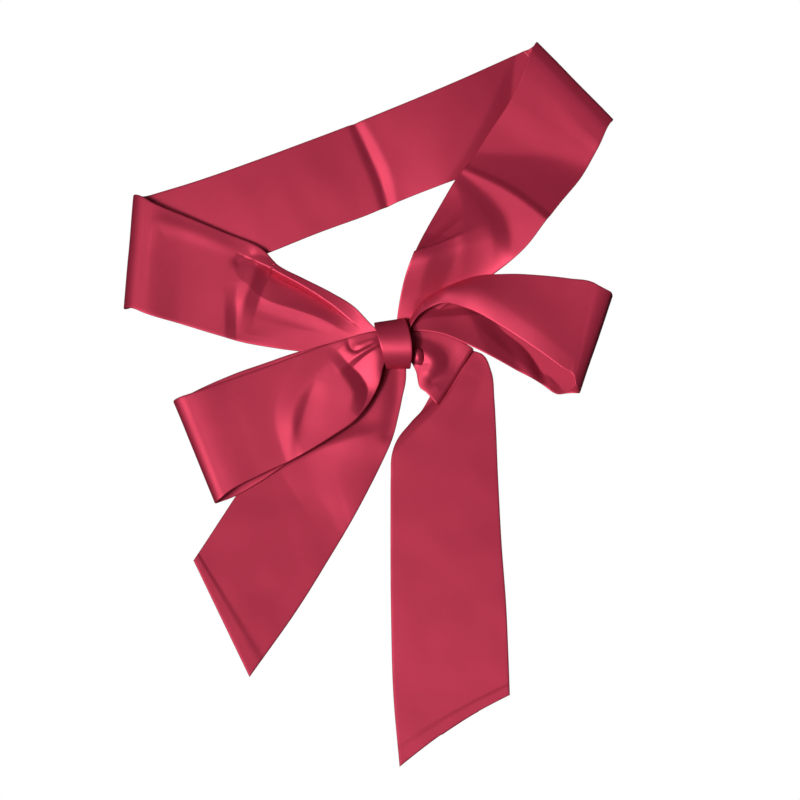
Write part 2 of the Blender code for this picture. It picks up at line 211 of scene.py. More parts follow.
WAIST_RIGHT_FOLD = (105, 279, 161.6, 217)
WAIST_RIGHT_LIP = Section(95, 273, 1.0, 150, 213.5, 1.0, 0.0)
WAIST_RIGHT = [
    Section(96, 258, 10.2, 152, 198.5, 10.4, 0.0),
    Section(86, 234, 9.2, 146, 187, 9.4, 0.0),
    Section(71, 210, 7.4, 135, 168, 7.4, 0.0),
    Section(57, 188, 6.4, 120, 148, 7.0, 0.0),
    Section(43, 168, 5.8, 107, 130, 7.0, 0.0),
    Section(29, 144, 4.2, 91, 110, 6.6, 0.0),
    Section(17, 121, 3.6, 70, 93.5, 6.0, 0.2),
    Section(9, 101, 4.2, 46, 79, 4.8, 0.4),
    Section(2.4, 82, 5.0, 28, 67, 3.6, 0.6),
    Section(-0.8, 66, 4.8, 16, 59.5, 4.0, 0.6),
    Section(-2, 56, 3.6, 11.5, 52.5, 3.4, 0.2),
    Section(-2.4, 49, 3.4, 9.5, 46.5, 3.4, 0.0),
]
WAIST_RIGHT_FOLDS = [
    # The stretch climbs to a crest across it and comes down slowly beyond
    Fold("facet", 0.15, 1.0, [
        Crease(44, 178, 2.4, 14.0, 20.0),
        Crease(57, 171, 4.4, 20.0, 32.0),
        Crease(72, 162, 8.0, 30.0, 58.0),
        Crease(90, 149, 12.2, 44.0, 90.0),
        Crease(111, 130, 16.0, 57.0, 126.0),
    ], Limit(20, 168, 110, 78, 38.0)),
    Fold("ramp", 0.15, 1.0, [
        Crease(47, 182, 1.2, 0.0, 5.0),
        Crease(76, 166, 1.8, 0.0, 5.0),
        Crease(94, 153, 1.8, 0.0, 5.0),
        Crease(115, 134, 1.8, 0.0, 5.0),
    ]),
    # Inside this line the cloth rises to a rim, steepest where it begins in a pocket
    Fold("ramp", 0.15, 1.0, [
        Crease(46, 172, 2.6, 0.0, 8.0),
        Crease(57.4, 161.2, 7.0, 0.0, 16.0),
        Crease(68, 149.7, 12.4, 0.0, 28.0),
        Crease(77.8, 134.6, 15.6, 0.0, 36.0),
        Crease(82, 117, 15.6, 0.0, 36.0),
        Crease(82, 98, 15.6, 0.0, 36.0),
    ], Limit(28, 104, 86, 124, 34.0)),
    Fold("ramp", 0.15, 1.0, [
        Crease(46, 172, 0.1, 0.0, 8.0),
        Crease(57.4, 161.2, 0.8, 0.0, 10.0),
        Crease(68, 149.7, 1.8, 0.0, 12.0),
        Crease(77.8, 134.6, 3.0, 0.0, 13.0),
        Crease(82, 117, 3.0, 0.0, 13.0),
        Crease(82, 98, 3.0, 0.0, 13.0),
    ], Limit(28, 104, 86, 124, 20.0)),
    # Left of this line the cloth rises to its edge
    Fold("ramp", 0.15, 1.0, [
        Crease(45, 116, 0.0, 0.0, 14.0),
        Crease(42, 107, 2.0, 0.0, 15.0),
        Crease(37, 95, 4.6, 0.0, 16.0),
        Crease(31, 84, 4.6, 0.0, 15.0),
        Crease(25, 72, 2.0, 0.0, 12.0),
    ]),
    # Band along the fold that leans away
    Fold("ramp", 0.035, 1.0, [Crease(154.5, 210.6, -2.4, 0.0, 10.0), Crease(98, 272.6, -2.4, 0.0, 10.0)]),
]

LOOP_LEFT_FOLD = (-166.6, -2.4, -134.8, -78)
LOOP_LEFT_UPPER = [
    Section(-14.8, 46, 18.0, -10.6, 27.6, 16.0, 1.0),
    Section(-19, 46.5, 18.4, -12.8, 21, 16.0, 1.4),
    Section(-26, 45.5, 18.0, -15, 11, 16.0, 1.6),
    Section(-37, 42.5, 16.8, -21, -2, 15.2, 1.8),
    Section(-52, 38.5, 15.0, -31, -16, 14.2, 1.6),
    Section(-74, 31, 13.4, -50, -30, 13.0, 1.2),
    Section(-101, 21, 12.6, -76, -45.5, 12.4, 0.6),
    Section(-126, 12, 12.2, -101, -57.5, 12.2, 0.8),
    Section(-156, 1.2, 12.2, -126.4, -71.6, 12.2, 0.0),
]
LOOP_LEFT_LOWER = [
    Section(-156, 3.4, 1.9, -127, -74.6, 2.4, 0.0),
    Section(-124, 18.4, 2.2, -101, -60.5, 3.4, 0.0),
    Section(-101, 26.6, 3.0, -76, -43, 5.2, 0.0),
    Section(-74, 35.4, 5.4, -50, -24, 5.8, 0.0),
    Section(-52, 41, 6.6, -31, -6, 6.2, 0.0),
    Section(-36, 43, 7.8, -20, 12, 6.6, 0.0),
    Section(-23, 43, 9.8, -13.4, 27, 8.2, 0.0),
    Section(-15.6, 43, 13.8, -11.8, 31, 12.4, 0.0),
]
LOOP_LEFT_FOLDS = [
    # The belly of the loop climbs to the knot in two soft banks with a gutter between them
    Fold("ramp", 0.0, 0.48, [
        Crease(-78, -60, 2.4, 0.0, 12.0),
        Crease(-87, -36, 2.4, 0.0, 12.0),
        Crease(-91, -18, 2.4, 0.0, 12.0),
        Crease(-89, -1, 2.4, 0.0, 13.0),
        Crease(-81, 15, 2.4, 0.0, 15.0),
        Crease(-70, 32, 2.4, 0.0, 18.0),
        Crease(-57, 48, 2.4, 0.0, 20.0),
    ]),
    Fold("round", 0.0, 0.48, [
        Crease(-74, -52, -0.2, 4.0, 6.0),
        Crease(-74, -33, -1.0, 4.5, 8.0),
        Crease(-71, -18, -1.5, 5.0, 9.0),
        Crease(-66, -2, -1.4, 5.0, 9.0),
        Crease(-60, 12, -0.3, 4.0, 7.0),
    ]),
    # Pocket below the knot's gathers
    Fold("facet", 0.0, 0.48, [
        Crease(-46, 33, -0.6, 6.0, 8.0),
        Crease(-38, 24, -3.4, 13.0, 9.0),
        Crease(-29, 15, -5.4, 21.0, 10.5),
        Crease(-24, 5, -5.4, 21.0, 10.5),
        Crease(-26, -6, -2.8, 14.0, 9.0),
        Crease(-31, -15, -0.2, 6.0, 8.0),
    ]),
    # Gathers that come out of the knot
    Fold("facet", 0.0, 0.48, [
        Crease(-15, 38, 1.8, 2.4, 5.0),
        Crease(-26, 32, 2.4, 2.4, 8.0),
        Crease(-37, 25, 1.8, 4.0, 10.0),
        Crease(-47, 18, 0.0, 6.0, 10.0),
    ]),
    Fold("round", 0.0, 0.48, [
        Crease(-22, 37, -1.0, 2.0, 2.0),
        Crease(-31, 33, -1.6, 2.0, 2.4),
        Crease(-36, 35, -1.6, 2.0, 2.4),
        Crease(-38, 41, -0.6, 2.0, 2.4),
    ]),
]

LOOP_RIGHT_FOLD = (158.6, 79.2, 132.4, 4.6)
LOOP_RIGHT_UPPER = [
    Section(5.6, 52.5, 12.0, 4.8, 45, 18.5, 0.6),
    Section(10, 61, 11.5, 11, 56.5, 20.0, 1.6),
    Section(20, 72, 11.0, 19, 64, 20.0, 4.0),
    Section(32, 81, 11.0, 31, 69, 21.0, 5.0),
    Section(54, 90, 13.6, 51, 65, 21.0, 4.0),
    Section(78, 92, 15.0, 75, 52, 20.0, 2.4),
    Section(103, 91, 15.4, 101, 34.5, 18.6, 1.2),
    Section(126, 88.6, 15.0, 119, 21.5, 16.6, 0.4),
    Section(143, 86, 14.4, 128, 15, 15.0, 0.0),
]
LOOP_RIGHT_LOWER = [
    Section(143, 79, 1.9, 118, 4.5, 1.9, 0.0),
    Section(124, 78, 1.9, 105, 12, 4.0, 0.0),
    Section(100, 76, 2.0, 87, 21, 7.4, 0.4),
    Section(78, 79, 2.4, 68, 31, 8.6, 0.8),
    Section(56, 79.5, 4.0, 48, 41, 8.6, 1.2),
    Section(36, 77, 5.6, 33, 47.5, 8.8, 1.6),
    Section(20, 68, 8.2, 20, 50, 9.0, 1.0),
    Section(8.6, 57, 9.6, 9.4, 50.6, 9.0, 0.2),
]
LOOP_RIGHT_FOLDS = [
    # The upper layer curls down along the loop's mouth
    Fold("ramp", 0.0, 0.48, [
        Crease(36, 86, -0.8, 0.0, 16.0),
        Crease(56, 80, -2.0, 0.0, 19.0),
        Crease(80, 64, -2.4, 0.0, 19.0),
        Crease(106, 45, -1.8, 0.0, 16.0),
        Crease(122, 32, -0.8, 0.0, 12.0),
        Crease(134, 24, -0.2, 0.0, 10.0),
    ]),
    Fold("round", 0.0, 0.48, [
        Crease(20, 71, -1.0, 2.5, 3.5),
        Crease(26, 78, -2.4, 3.0, 5.0),
        Crease(31, 83, -1.4, 3.0, 4.0),
    ]),
    # The lower layer falls away under the loop's mouth
    Fold("ramp", 0.52, 1.0, [
        Crease(122, -4, -1.0, 0.0, 14.0),
        Crease(106, 12, -5.0, 0.0, 14.0),
        Crease(82, 32, -5.6, 0.0, 14.0),
        Crease(66, 46, -4.6, 0.0, 14.0),
        Crease(54, 58, -1.0, 0.0, 14.0),
    ], Limit(58, 90, 52, 30, 16.0)),
    # It falls away behind a crease near the knot too, and waves below the mouth
    Fold("ramp", 0.52, 1.0, [
        Crease(62, 64, -3.4, 0.0, 7.0),
        Crease(41, 62, -3.4, 0.0, 7.0),
        Crease(22, 60, -2.4, 0.0, 5.0),
        Crease(11, 54, -1.0, 0.0, 4.0),
    ]),
    Fold("ramp", 0.52, 1.0, [
        Crease(64, 66, 3.2, 0.0, 12.0),
        Crease(74, 48, 3.2, 0.0, 15.0),
        Crease(83, 33, 3.2, 0.0, 15.0),
        Crease(91, 14, 3.2, 0.0, 12.0),
    ]),
    Fold("round", 0.52, 1.0, [
        Crease(84, 44, 0.3, 6.0, 6.0),
        Crease(92, 32, 0.9, 6.0, 6.0),
        Crease(97, 18, 1.2, 5.0, 6.0),
    ]),
    Fold("round", 0.52, 1.0, [
        Crease(96, 40, -0.6, 4.0, 4.0),
        Crease(103, 26, -1.2, 4.0, 4.0),
        Crease(107, 10, -1.2, 4.0, 4.0),
    ]),
    Fold("round", 0.52, 1.0, [Crease(108, 30, 0.4, 5.0, 5.0), Crease(117, 12, 0.7, 5.0, 5.0)]),
]

TAIL_LEFT = [
    Section(-12, 33, 3.6, 4, 27, 3.6, 0.0),
    Section(-20, 27, 3.6, 4, 16, 3.6, 0.6),
    Section(-36, 18, 3.2, 1.4, 2, 4.0, 1.0),
    Section(-55, 8, 2.8, -1.5, -12, 4.0, 1.0),
    Section(-75, -8, 1.8, -6.2, -30, 3.0, 0.6),
    Section(-89, -27, 0.6, -15.8, -51.6, 0.6, 0.0),
    Section(-106, -50, 0.6, -32.8, -85, 0.6, 0.0),
    Section(-121, -74, 0.6, -52, -118, 0.6, 0.0),
    Section(-138, -101, 0.6, -76, -157, 0.6, 0.0),
    Section(-150.4, -120.4, 0.6, -108.8, -204, 0.6, 0.0),
]
TAIL_LEFT_FOLDS = [
    Fold("round", 0.0, 1.0, [
        Crease(-2, 20, -1.0, 5.0, 6.0),
        Crease(-3, -2, -1.8, 5.0, 7.0),
        Crease(-8, -26, -1.0, 5.0, 6.0),
    ]),
    # Bank that falls back to the loop's edge
    Fold("round", 0.0, 1.0, [
        Crease(-88, -54, 0.0, 5.0, 40.0),
        Crease(-72, -44, 1.2, 5.5, 44.0),
        Crease(-57, -37.5, 2.4, 6.5, 50.0),
        Crease(-43, -33.5, 3.0, 7.5, 54.0),
        Crease(-30, -30, 2.6, 8.0, 50.0),
        Crease(-17, -27, 1.4, 8.0, 44.0),
        Crease(-5, -24.5, 0.4, 8.0, 40.0),
    ]),
]

TAIL_TURN = [
    Section(6.0, 49.4, 9.8, 7.6, 29, 8.0, 0.4),
    Section(18, 51, 8.8, 12, 20, 8.2, 1.4),
    Section(30, 49.2, 7.8, 14.4, 9, 8.6, 1.6),
    Section(42, 44.6, 6.6, 20, 4, 8.6, 0.8),
    # The outer edge is a fold that curls down to the tail
    Section(50.6, 39.8, 5.8, 25.4, -2.2, 7.8, 0.1),
    Section(53, 38.4, 5.2, 27, -4, 7.1, 0.0),
    Section(54, 37.5, 4.1, 28, -4.9, 5.6, 0.0),
    Section(53.6, 37.2, 2.9, 27.6, -4.7, 4.3, 0.0),
]
TAIL_TURN_FOLDS = [
    # Gutter round the bulge beside the knot
    Fold("round", 0.0, 1.0, [
        Crease(12, 45, -0.6, 3.0, 3.0),
        Crease(22, 43.5, -1.4, 5.0, 5.0),
        Crease(31, 39, -1.9, 9.0, 6.0),
        Crease(36, 32, -2.2, 13.0, 5.5),
        Crease(36.5, 24, -2.2, 13.0, 5.5),
        Crease(32, 17, -1.6, 10.0, 5.0),
        Crease(24, 12.5, -1.2, 4.0, 3.5),
    ]),
    Fold("round", 0.0, 1.0, [
        Crease(14, 36, 0.8, 3.0, 3.0),
        Crease(24, 28, 1.6, 5.0, 5.0),
        Crease(22, 20, 0.8, 4.0, 4.0),
    ]),
]

TAIL_RIGHT = [
    Section(50, 38, 1.0, 23, 3.6, 1.2, 0.0),
    Section(61.2, 34, 1.0, 16, -9, 1.4, 0.0),
    Section(67.4, 21, 1.2, 8, -18.4, 3.6, 0.2),
    Section(69.4, 0, 1.4, -1, -30, 6.0, 0.2),
    Section(70.4, -22, 1.6, -5.4, -42, 7.4, 0.2),
    Section(71.2, -50, 1.6, -6.3, -60, 7.4, 0.2),
    Section(72.2, -76, 1.4, -6.4, -82, 6.4, 0.2),
    Section(73.4, -103, 1.2, -6.4, -104, 5.2, 0.0),
    Section(76.4, -150, 0.8, -6, -156, 2.8, 0.0),
    Section(77.8, -188, 0.6, -4.2, -218, 0.6, 0.0),
    Section(78.6, -217.6, 0.6, 0.2, -268, 0.6, 0.0),
]
# How far the hem's middle is drawn in behind its corners
TAIL_RIGHT_END_BOW = 3.6
TAIL_RIGHT_FOLDS = [
    # Bank along the tail's upper left edge, which the pleat stands on
    Fold("facet", 0.0, 1.0, [
        Crease(-7, -46, 0.4, 8.0, 14.0),
        Crease(3, -34, 1.0, 12.0, 18.0),
        Crease(14, -22, 1.6, 16.0, 20.0),
        Crease(28, -8, 2.0, 20.0, 20.0),
        Crease(40, 8, 2.0, 20.0, 18.0),
        Crease(48, 22, 1.2, 16.0, 14.0),
    ]),
]

KNOT_WRAP = [
    Section(-14.2, 38, 6.6, 5, 38, 6.6, 0.0),
    Section(-16.4, 47, 6.6, 3, 49, 6.6, 0.0),
    Section(-18, 52.4, 7.6, 2, 55.8, 7.6, 0.0),
    Section(-18.6, 55, 12.0, 2.4, 58.4, 12.0, 0.0),
    Section(-18.4, 53.5, 18.0, 3.6, 56.6, 18.4, 0.0),
    Section(-17.8, 50, 22.0, 5, 52, 22.6, 0.0),
    Section(-16.4, 44.5, 24.6, 6.6, 45, 25.0, 0.0),
    Section(-14.6, 38, 25.2, 8, 38, 25.4, 0.0),
    Section(-12.8, 31.5, 23.6, 8.4, 31.5, 23.8, 0.0),
    Section(-11.2, 26, 19.6, 8, 26, 19.8, 0.0),
    Section(-10, 22.4, 14.6, 7.4, 22.4, 14.6, 0.0),
    Section(-9.6, 22, 9.8, 7, 22, 9.8, 0.0),
    Section(-10, 24.4, 7.2, 6.4, 24.4, 7.2, 0.0),
    Section(-11.6, 30, 6.6, 6, 30, 6.6, 0.0),
    Section(-13.9, 37, 6.6, 5.1, 37, 6.6, 0.0),
]

KNOT_TUCK = [
    Section(9.4, 37.4, 12.2, 15.4, 35.6, 12.2, 2.0),
    Section(9.4, 33.0, 12.0, 16.6, 31.4, 12.0, 3.4),
    Section(9.6, 29.0, 11.2, 16.4, 26.8, 11.2, 3.2),
    Section(10.6, 25.6, 10.2, 15.0, 24.0, 10.2, 1.6),
]

# Satin rumples a little even where it lies plane, in its own way for each seed
RUMPLE_HEIGHT = 0.28
RUMPLE_LENGTH = 26.0
RUMPLE_LIFT = 0.5
SEED_SPACING = 7.3
# The hem allowance turned inside each tail's end makes a step
HEM_BAND = 10.5
HEM_STEP = 0.35
HEM_SOFTNESS = 0.5
# The bow of a hem dies out away from the end: the higher, the sooner
END_BOW_POWER = 8
# The ribbon's run at its end is taken over this many rows
END_ROWS = 6
# Edges are rounded over this width, at these shares of it, and plain rows begin a little past it
EDGE_ROUNDING = 1.0
RIM_SHARES = (0.0, 0.12, 0.45, 1.0)
RIM_SPAN = 2.2
# An end that is joined to another stretch counts as this far from an edge, so it keeps its thickness
JOINED_SPAN = 10 * EDGE_ROUNDING
# A rounded end fold takes this many steps from one layer to the other
ROLL_STEPS = 8
# A sharp crest is rounded over this share of its spread
FACET_ROUNDING = 0.12
# Steps between two points of a fold, so many that none of them shows as a streak
PATH_STEPS = 18
# A ramp runs on past its own ends by this many lengths of its end piece
RAMP_OVERRUN = 9.0
# A lip is a crest that drops sharply on its right into a hollow this many times as deep as the crest is high
LIP_DROP = 1.3
LIP_DEPTH = 2.2
LIP_SOFTENING = (-0.4, -0.2, 0.0, 0.2, 0.4)
# A fold that stops short of a stretch's end dies out over this share of its length
FOLD_FADE = 0.02
# Larger than any distance on the belt
FAR_AWAY = 1e9
# Keeps divisions clear of nought
TINY_STEP = 1e-6
TINY_LENGTH = 1e-9


def through_rows(rows, count):
    """Rows of numbers read at count places along a smooth curve through them all."""
    rows = np.array(rows, float)
    middles = (rows[:, 0:3] + rows[:, 3:6]) / 2
    steps = np.maximum(np.linalg.norm(np.diff(middles, axis=0), axis=1), TINY_STEP)
    along = np.concatenate([[0.0], np.cumsum(steps)])
    slopes = np.gradient(rows, along, axis=0)
    places = edge_spaced(count, along[-1]) * along[-1]
    span = np.clip(np.searchsorted(along, places, side="right") - 1, 0, len(steps) - 1)
    length = steps[span][:, None]
    t = ((places - along[span]) / steps[span])[:, None]
    return (
        (2 * t**3 - 3 * t**2 + 1) * rows[span]
        + (t**3 - 2 * t**2 + t) * length * slopes[span]
        + (3 * t**2 - 2 * t**3) * rows[span + 1]
        + (t**3 - t**2) * length * slopes[span + 1]
    )


def edge_spaced(count, length):
    """Places from 0 to 1 along a length, with extra ones at both ends to round its edges."""
    rim = np.array(RIM_SHARES) * EDGE_ROUNDING / length
    margin = RIM_SPAN * EDGE_ROUNDING / length
    inner = np.linspace(margin, 1 - margin, count)
    return np.concatenate([rim, inner, 1 - rim[::-1]])


def roll_rows(fold_line, first, last, tip_share):
    """Sections of a rounded fold about a line in plan, between the rows that it joins."""
    outer = np.array(fold_line, float).reshape(2, 2)
    rows = []
    for step in range(1, ROLL_STEPS):
        turn = math.pi * step / ROLL_STEPS
        ends = []
        for end, column in enumerate((0, 3)):
            start = np.array(first[column : column + 3], float)
            finish = np.array(last[column : column + 3], float)
            inner = start + (finish - start) * step / ROLL_STEPS
            plan = inner[:2] + (outer[end] - inner[:2]) * math.sin(turn)
            lower, upper = min(start[2], finish[2]), max(start[2], finish[2])
            tip = lower + (upper - lower) * tip_share
            from_tip = (start[2] - tip) * max(math.cos(turn), 0) - (finish[2] - tip) * min(math.cos(turn), 0)
            ends += [plan[0], plan[1], tip + from_tip]
        rows.append(Section(*ends, 0.0))
    return rows


def folded(first_layer, fold_line, second_layer, tip_share):
    """Sections of two layers of a stretch, with a rounded fold about a line between them.

    tip_share is how high the fold's tip is between the two layers.
    """
    fold = roll_rows(fold_line, first_layer[-1], second_layer[0], tip_share)
    return first_layer + fold + second_layer


def normals_of(grid):
    """Unit normals of a grid of points."""
    normals = np.cross(np.gradient(grid, axis=0), np.gradient(grid, axis=1))
    return normals / np.maximum(np.linalg.norm(normals, axis=2, keepdims=True), TINY_LENGTH)


def softened(far):
    """The larger of a number and nought, with a soft turn between the two."""
    return (far + np.sqrt(far**2 + FACET_ROUNDING**2)) / 2


def fold_profile(kind, distance, left, right):
    """Height share of a fold at a distance to its right, which is negative to its left."""
    if kind == "ramp":
        far = distance / right
        return softened(far) - softened(far - 1)
    if kind == "lip":
        height = 0.0
        for shift in LIP_SOFTENING:
            far = distance + shift
            drop = 1 - (1 + LIP_DEPTH) * far / LIP_DROP
            beyond = -LIP_DEPTH * np.clip(1 - (far - LIP_DROP) / right, 0.0, 1.0)
            rising = np.clip(1 + far / left, 0.0, 1.0)
            height = height + np.where(far < 0, rising, np.where(far < LIP_DROP, drop, beyond))
        return height / len(LIP_SOFTENING)
    spread = np.where(distance > 0, right, left)
    far = np.abs(distance) / spread
    return softened(1 - far) if kind == "facet" else np.exp(-(far**2))


def smooth_path(points):
    """A fold's points joined by a smooth curve, as a finer row of points."""
    rows = np.array(points, float)
    if len(rows) < 3:
        return list(points)
    slopes = np.gradient(rows, axis=0)
    path = []
    for start, end, leaving, arriving in zip(rows, rows[1:], slopes, slopes[1:]):
        for step in range(PATH_STEPS):
            t = step / PATH_STEPS
            bend = (2 * t**3 - 3 * t**2 + 1) * start + (3 * t**2 - 2 * t**3) * end
            path.append(Crease(*(bend + (t**3 - 2 * t**2 + t) * leaving + (t**3 - t**2) * arriving)))
    return path + [points[-1]]


def within(plan, limit):
    """Share of a fold that is left beside its limit: all on the left, none past the width on the right."""
    run = np.array([limit.to_x - limit.from_x, limit.to_y - limit.from_y])
    run = run / np.linalg.norm(run)
    away = plan - np.array([limit.from_x, limit.from_y])
    past = away @ np.array([run[1], -run[0]]) / limit.width
    return 1 - (softened(past) - softened(past - 1))


def fold_relief(points, placed, folds):
    """Rise of points by folds: each runs through its own points in plan and fades past its ends."""
    plan = points[..., :2]
    rise = np.zeros(plan.shape[:2])
    for fold in folds:
        nearest = np.full(plan.shape[:2], FAR_AWAY)
        here = np.zeros(plan.shape[:2])
        path = smooth_path(fold.points)
        last = len(path) - 2
        for number, (start, end) in enumerate(zip(path, path[1:])):
            origin = np.array([start.x, start.y])
            run = np.array([end.x, end.y]) - origin
            length = np.linalg.norm(run)
            rightwards = np.array([run[1], -run[0]]) / length
            away = plan - origin
            along = away @ run / length**2
            low = -RAMP_OVERRUN if fold.kind == "ramp" and number == 0 else 0.0
            high = RAMP_OVERRUN if fold.kind == "ramp" and number == last else 1.0
            distance = np.linalg.norm(away - np.clip(along, low, high)[..., None] * run, axis=2)
            signed = np.copysign(distance, away @ rightwards)
            share = np.clip(along, 0.0, 1.0)
            height = start.rise + (end.rise - start.rise) * share
            left = start.left + (end.left - start.left) * share
            right = start.right + (end.right - start.right) * share
            profile = fold_profile(fold.kind, signed, left, right)
            closer = distance < nearest
            nearest = np.where(closer, distance, nearest)
            here = np.where(closer, height * profile, here)
        inside = np.ones(len(placed))
        if fold.first > 0:
            inside *= np.clip((placed - fold.first) / FOLD_FADE, 0.0, 1.0)
        if fold.last < 1:
            inside *= np.clip((fold.last - placed) / FOLD_FADE, 0.0, 1.0)
        here = here * (inside**2 * (3 - 2 * inside))[:, None]
        if fold.limit:
            here = here * within(plan, fold.limit)
        rise += here
    return rise


def rumple(points, seed):
    """Small rises and falls of cloth that lies loose, the same each time for one seed."""
    heights = np.empty(points.shape[:2])
    for row in range(points.shape[0]):
        for column in range(points.shape[1]):
            place = Vector(points[row, column]) / RUMPLE_LENGTH
            heights[row, column] = noise.noise(place + Vector((seed * SEED_SPACING, 0.0, 0.0)))
    return (heights + RUMPLE_LIFT) * RUMPLE_HEIGHT


def ribbon_grid(stretch):
    """Points of a stretch's middle surface, each one's place on the flat ribbon, and half the wall there."""
    table = through_rows(stretch.rows, stretch.along)
    crown = table[:, 6]
    chord = np.linalg.norm(table[:, 3:6] - table[:, 0:3], axis=1)
    share = edge_spaced(stretch.across, RIBBON_WIDTH)
    edge_turn = (table[:, 3:6] - table[:, 0:3]) / chord[:, None] * WALL / 2
    left = table[:, 0:3] - edge_turn
    right = table[:, 3:6] + edge_turn
    grid = left[:, None] * (1 - share)[None, :, None] + right[:, None] * share[None, :, None]
    placed = np.linspace(0.0, 1.0, len(grid))
    run = grid[-1] - grid[-END_ROWS]
    run = run / np.linalg.norm(run, axis=1)[:, None]
    arch = np.sin(math.pi * share)[None, :]
    drawn_in = stretch.end_bow * (placed**END_BOW_POWER)[:, None] * arch
    grid = grid - drawn_in[..., None] * run[None, :, :]
    bulge = crown[:, None] * arch + rumple(grid, stretch.seed)
    grid = grid + normals_of(grid) * (stretch.facing * bulge)[..., None]
    grid[..., 2] += fold_relief(grid, placed, stretch.folds)
    grid[..., 2] = np.maximum(grid[..., 2], WALL / 2)
    middle = (grid[:, 0] + grid[:, -1]) / 2
    length = np.concatenate([[0.0], np.cumsum(np.linalg.norm(np.diff(middle, axis=0), axis=1))])
    flat = np.stack(np.broadcast_arrays(share[None, :] * RIBBON_WIDTH, length[:, None]), axis=2)
    half = edge_thickness(grid, stretch.joined)
    if stretch.hem:
        from_end = length[-1] - length
        step = (HEM_STEP / 2 / (1 + np.exp((from_end - HEM_BAND) / HEM_SOFTNESS)))[:, None]
        half = half + step * (half > 0)
        grid[..., 2] += step
    return grid, flat, half


def edge_thickness(grid, joined):
    """Half the wall's thickness, which runs out to nothing in a round edge, save at joined ends."""
    across = np.linalg.norm(np.diff(grid, axis=1), axis=2)
    from_left = np.concatenate([np.zeros((len(grid), 1)), np.cumsum(across, axis=1)], axis=1)
    from_right = from_left[:, -1:] - from_left
    along = np.linalg.norm(np.diff(grid, axis=0), axis=2)
    from_start = np.concatenate([np.zeros((1, grid.shape[1])), np.cumsum(along, axis=0)], axis=0)
    from_end = from_start[-1:] - from_start
    from_start = from_start + JOINED_SPAN * joined[0]
    from_end = from_end + JOINED_SPAN * joined[1]
    nearest = np.minimum(np.minimum(from_left, from_right), np.minimum(from_start, from_end))
    reach = np.clip(nearest / EDGE_ROUNDING, 0.0, 1.0)
    return WALL / 2 * np.sqrt(np.maximum(1 - (1 - reach) ** 2, 0.0))


def shell(name, grid, flat, half, material):
    """One closed shell of cloth round a middle surface, with its place on the flat ribbon as UVs."""
    normals = normals_of(grid)
    rows, columns = grid.shape[:2]
    upper = (grid + normals * half[..., None]).reshape(-1, 3)
    lower = (grid - normals * half[..., None]).reshape(-1, 3)
    rim = np.zeros((rows, columns), bool)
    rim[0] = rim[-1] = True
    rim[:, 0] = rim[:, -1] = True
    count = rows * columns
    index = np.arange(count).reshape(rows, columns)
    under = np.full((rows, columns), -1)
    inner = ~rim
    under[inner] = count + np.arange(inner.sum())
    under[rim] = index[rim]
    points = np.vstack([upper, lower[inner.reshape(-1)]])
    points[index[rim]] = grid[rim]
    faces = []
    for side in (index, under):
        quads = np.stack([side[:-1, :-1], side[1:, :-1], side[1:, 1:], side[:-1, 1:]], axis=2)
        quads = quads.reshape(-1, 4)
        faces.append(quads if side is index else quads[:, ::-1])
    faces = np.vstack(faces)
    placed = (points - np.array([MIDDLE_X, MIDDLE_Y, 0.0])) * MM
    mesh = bpy.data.meshes.new(name)
    mesh.from_pydata(placed.tolist(), [], faces.tolist())
    flat_points = np.vstack([flat.reshape(-1, 2), flat.reshape(-1, 2)[inner.reshape(-1)]]) * MM
    layer = mesh.uv_layers.new(name=FLAT_MAP)
    loops = np.empty(len(mesh.loops), int)
    mesh.loops.foreach_get("vertex_index", loops)
    layer.data.foreach_set("uv", flat_points[loops].reshape(-1))
    mesh.validate()
    mesh.shade_smooth()
    mesh.materials.append(material)
    made = bpy.data.objects.new(name, mesh)
    bpy.context.scene.collection.objects.link(made)
    return made


def satin(name):
    """Crimson satin: a soft metallic gloss stretched across the warp, on a very fine weave."""
    made = bpy.data.materials.new(name)
    made.use_nodes = True
    nodes, links = made.node_tree.nodes, made.node_tree.links
    shader = nodes["Principled BSDF"]
    shader.inputs["Roughness"].default_value = SATIN_ROUGHNESS
    shader.inputs["Metallic"].default_value = SATIN_METALLIC
    shader.inputs["Anisotropic"].default_value = SATIN_STRETCH
    tangent = nodes.new("ShaderNodeTangent")
    tangent.direction_type = "UV_MAP"
    tangent.uv_map = FLAT_MAP
    links.new(tangent.outputs["Tangent"], shader.inputs["Tangent"])
    place = nodes.new("ShaderNodeTexCoord")
    mottle = nodes.new("ShaderNodeTexNoise")
    mottle.inputs["Scale"].default_value = MOTTLE_SCALE
    mottle.inputs["Detail"].default_value = MOTTLE_DETAIL
    mottle.inputs["Roughness"].default_value = MOTTLE_ROUGHNESS
    links.new(place.outputs["Object"], mottle.inputs["Vector"])
    shades = nodes.new("ShaderNodeMix")
    shades.data_type = "RGBA"
    for shade, amount in (("A", 1 - MOTTLE_DEPTH), ("B", 1 + MOTTLE_DEPTH)):
        shades.inputs[shade].default_value = tuple(part * amount for part in SATIN_COLOUR) + (1.0,)
    links.new(mottle.outputs["Fac"], shades.inputs["Factor"])
    links.new(shades.outputs["Result"], shader.inputs["Base Color"])
    weave = nodes.new("ShaderNodeTexNoise")
    weave.inputs["Scale"].default_value = WEAVE_SCALE
    weave.inputs["Detail"].default_value = WEAVE_DETAIL
    links.new(place.outputs["Object"], weave.inputs["Vector"])
    bump = nodes.new("ShaderNodeBump")
    bump.inputs["Strength"].default_value = WEAVE_STRENGTH
    bump.inputs["Distance"].default_value = WEAVE_HEIGHT
    links.new(weave.outputs["Fac"], bump.inputs["Height"])
    links.new(bump.outputs["Normal"], shader.inputs["Normal"])
    return made


